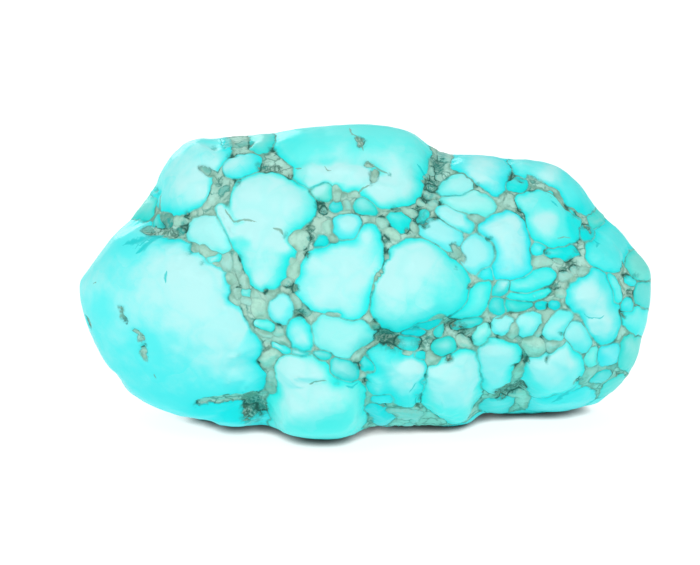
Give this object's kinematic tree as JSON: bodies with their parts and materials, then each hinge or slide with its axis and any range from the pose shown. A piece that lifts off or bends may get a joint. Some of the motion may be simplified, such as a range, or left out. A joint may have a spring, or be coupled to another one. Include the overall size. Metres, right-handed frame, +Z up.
{
  "type": "turquoise nugget",
  "caption": "Raw turquoise nugget: rounded nodules grown together in a lower matrix, lying on its worn lobes.",
  "frame": {"origin": "under the middle of the stone's box, on the surface that it lies on", "axes": "+X along the stone's length, to the right seen from the front; -Y towards the front; +Z up"},
  "size_m": [0.0521, 0.0283, 0.0281],
  "materials": {
    "turquoise_nugget": "waxy"
  },
  "bodies": {
    "root": {"turquoise_nugget": "turquoise_nugget"}
  },
  "joints": []
}
